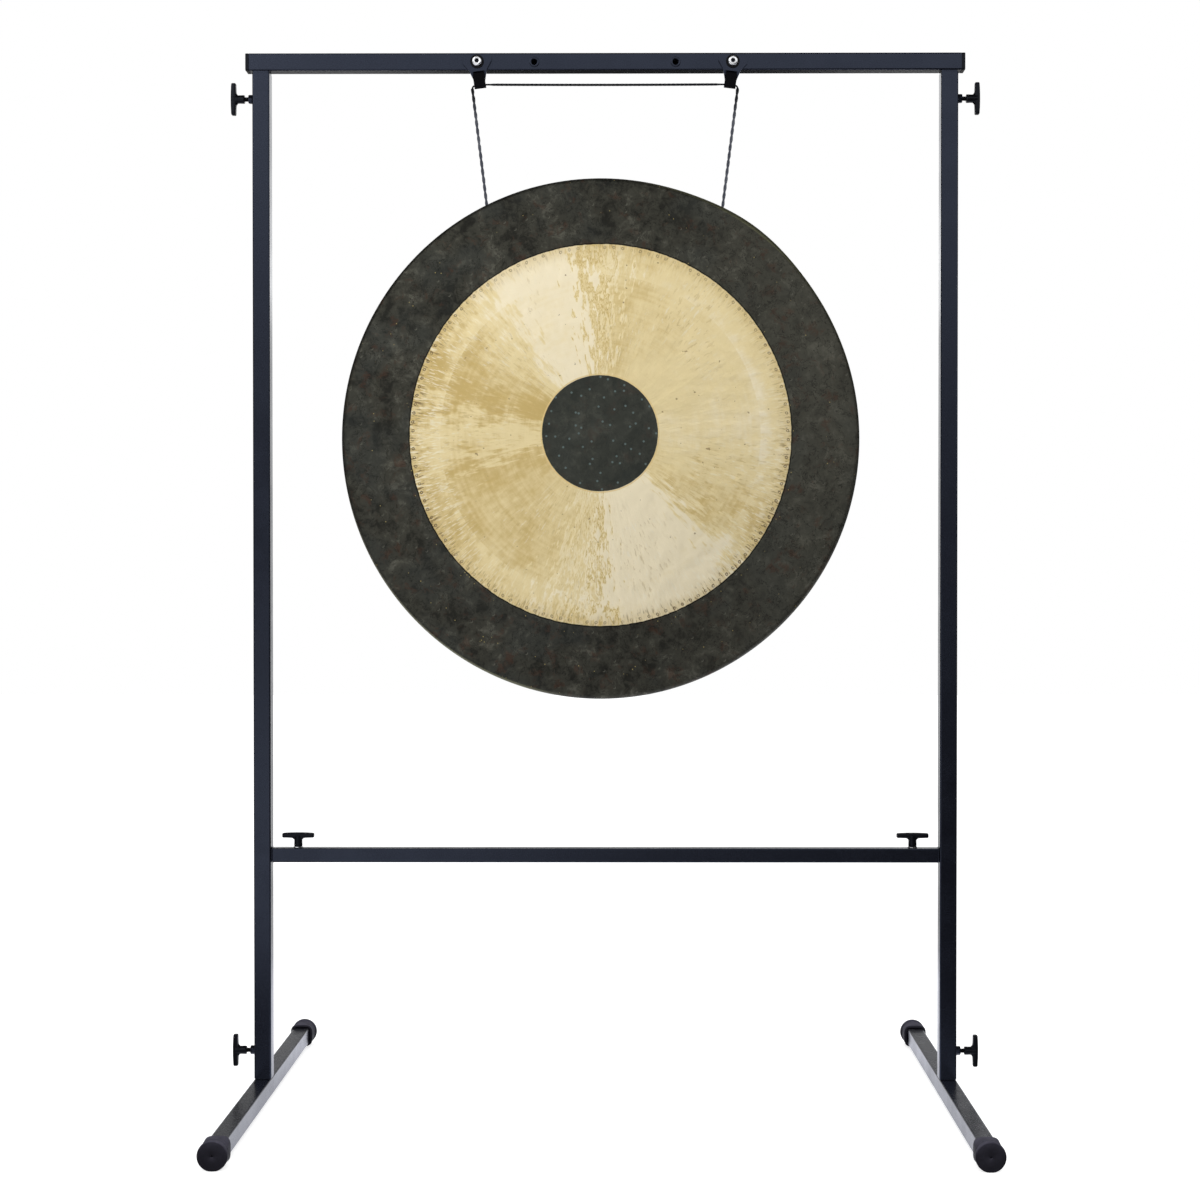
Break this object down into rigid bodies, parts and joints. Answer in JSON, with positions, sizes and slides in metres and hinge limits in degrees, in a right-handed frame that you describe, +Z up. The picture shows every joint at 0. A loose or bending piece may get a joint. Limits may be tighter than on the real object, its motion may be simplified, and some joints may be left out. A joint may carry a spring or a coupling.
{
  "type": "gong stand",
  "caption": "Free-standing square-tube frame on two long feet, with a hammered gong hung from its top rail on a cord over hooks, and wing screws that clamp the joints.",
  "frame": {"origin": "on the floor, under the middle of the stand", "axes": "+X to the stand's right as seen from the front, +Y to the rear, +Z up; the gong's face looks along -Y"},
  "size_m": [1.309, 0.936, 1.831],
  "materials": {
    "powder_coat": "fine-textured dark grey-blue powder coat on steel",
    "rubber": "matt black moulded rubber",
    "black_plastic": "matt black moulded plastic",
    "zinc": "bright zinc-plated steel",
    "black_steel": "black-finished steel washer",
    "brass": "hand-hammered, with a raw dark middle and border round a scraped pale ring",
    "cord": "dark laid synthetic cord"
  },
  "bodies": {
    "frame": {"crossbar": "powder_coat", "left_upright": "powder_coat", "left_crossbar_stub": "powder_coat", "left_crossbar_stub_nut": "zinc", "left_crossbar_washer": "zinc", "left_lower_weld_nut": "powder_coat", "left_upper_weld_nut": "powder_coat", "right_upright": "powder_coat", "right_crossbar_stub": "powder_coat", "right_crossbar_stub_nut": "zinc", "right_crossbar_washer": "zinc", "right_lower_weld_nut": "powder_coat", "right_upper_weld_nut": "powder_coat"},
    "rail": {"top_rail": "powder_coat", "left_rail_end_cap": "black_plastic", "left_rail_stub": "powder_coat", "left_hanger_hook": "powder_coat", "left_hook_sleeve": "rubber", "left_hanger_bolt": "zinc", "left_hanger_washer": "black_steel", "left_hanger_insert": "powder_coat", "left_spare_insert": "powder_coat", "right_rail_end_cap": "black_plastic", "right_rail_stub": "powder_coat", "right_hanger_hook": "powder_coat", "right_hook_sleeve": "rubber", "right_hanger_bolt": "zinc", "right_hanger_washer": "black_steel", "right_hanger_insert": "powder_coat", "right_spare_insert": "powder_coat"},
    "left_foot": {"left_foot_tube": "powder_coat", "left_foot_stub": "powder_coat", "left_front_foot_cap": "rubber", "left_rear_foot_cap": "rubber"},
    "right_foot": {"right_foot_tube": "powder_coat", "right_foot_stub": "powder_coat", "right_front_foot_cap": "rubber", "right_rear_foot_cap": "rubber"},
    "left_lower_screw": {"left_lower_clamp_screw": "black_steel"},
    "left_lower_wing": {"left_lower_wing_head": "black_plastic"},
    "left_upper_screw": {"left_upper_clamp_screw": "black_steel"},
    "left_upper_wing": {"left_upper_wing_head": "black_plastic"},
    "left_crossbar_screw": {"left_crossbar_clamp_screw": "black_steel"},
    "left_crossbar_wing": {"left_crossbar_wing_head": "black_plastic"},
    "right_lower_screw": {"right_lower_clamp_screw": "black_steel"},
    "right_lower_wing": {"right_lower_wing_head": "black_plastic"},
    "right_upper_screw": {"right_upper_clamp_screw": "black_steel"},
    "right_upper_wing": {"right_upper_wing_head": "black_plastic"},
    "right_crossbar_screw": {"right_crossbar_clamp_screw": "black_steel"},
    "right_crossbar_wing": {"right_crossbar_wing_head": "black_plastic"},
    "gong": {"gong": "brass", "gong_cord": "cord"}
  },
  "joints": [
    {"name": "rail_lift", "type": "slide", "parent": "frame", "child": "rail", "axis": [0, 0, 1], "range_m": [0, 0.074]},
    {"name": "left_foot_drop", "type": "slide", "parent": "frame", "child": "left_foot", "axis": [0, 0, -1], "range_m": [0, 0.074]},
    {"name": "right_foot_drop", "type": "slide", "parent": "frame", "child": "right_foot", "axis": [0, 0, -1], "range_m": [0, 0.074]},
    {"name": "left_lower_screw_travel", "type": "slide", "parent": "frame", "child": "left_lower_screw", "axis": [-1, 0, 0], "range_m": [0, 0.01]},
    {"name": "left_lower_wing_turn", "type": "hinge", "parent": "left_lower_screw", "child": "left_lower_wing", "pos_m": [-0.615, 0, 0.0869], "axis": [-1, 0, 0], "range_deg": [0, 2880]},
    {"name": "left_upper_screw_travel", "type": "slide", "parent": "frame", "child": "left_upper_screw", "axis": [-1, 0, 0], "range_m": [0, 0.01]},
    {"name": "left_upper_wing_turn", "type": "hinge", "parent": "left_upper_screw", "child": "left_upper_wing", "pos_m": [-0.615, 0, 1.7538], "axis": [-1, 0, 0], "range_deg": [0, 2880]},
    {"name": "left_crossbar_screw_travel", "type": "slide", "parent": "frame", "child": "left_crossbar_screw", "axis": [0, 0, 1], "range_m": [0, 0.00625]},
    {"name": "left_crossbar_wing_turn", "type": "hinge", "parent": "left_crossbar_screw", "child": "left_crossbar_wing", "pos_m": [-0.539, 0, 0.4436], "axis": [0, 0, 1], "range_deg": [0, 1800]},
    {"name": "right_lower_screw_travel", "type": "slide", "parent": "frame", "child": "right_lower_screw", "axis": [1, 0, 0], "range_m": [0, 0.01]},
    {"name": "right_lower_wing_turn", "type": "hinge", "parent": "right_lower_screw", "child": "right_lower_wing", "pos_m": [0.615, 0, 0.0869], "axis": [1, 0, 0], "range_deg": [0, 2880]},
    {"name": "right_upper_screw_travel", "type": "slide", "parent": "frame", "child": "right_upper_screw", "axis": [1, 0, 0], "range_m": [0, 0.01]},
    {"name": "right_upper_wing_turn", "type": "hinge", "parent": "right_upper_screw", "child": "right_upper_wing", "pos_m": [0.615, 0, 1.7538], "axis": [1, 0, 0], "range_deg": [0, 2880]},
    {"name": "right_crossbar_screw_travel", "type": "slide", "parent": "frame", "child": "right_crossbar_screw", "axis": [0, 0, 1], "range_m": [0, 0.00625]},
    {"name": "right_crossbar_wing_turn", "type": "hinge", "parent": "right_crossbar_screw", "child": "right_crossbar_wing", "pos_m": [0.539, 0, 0.4436], "axis": [0, 0, 1], "range_deg": [0, 1800]},
    {"name": "gong_swing", "type": "hinge", "parent": "rail", "child": "gong", "pos_m": [0, -0.0135, 1.7746], "axis": [1, 0, 0], "range_deg": [-20, 20]}
  ],
  "couplings": [
    {"joint": "left_lower_screw_travel", "follows": "left_lower_wing_turn", "m_per_rad": 0.00019894},
    {"joint": "left_upper_screw_travel", "follows": "left_upper_wing_turn", "m_per_rad": 0.00019894},
    {"joint": "left_crossbar_screw_travel", "follows": "left_crossbar_wing_turn", "m_per_rad": 0.00019894},
    {"joint": "right_lower_screw_travel", "follows": "right_lower_wing_turn", "m_per_rad": 0.00019894},
    {"joint": "right_upper_screw_travel", "follows": "right_upper_wing_turn", "m_per_rad": 0.00019894},
    {"joint": "right_crossbar_screw_travel", "follows": "right_crossbar_wing_turn", "m_per_rad": 0.00019894}
  ]
}
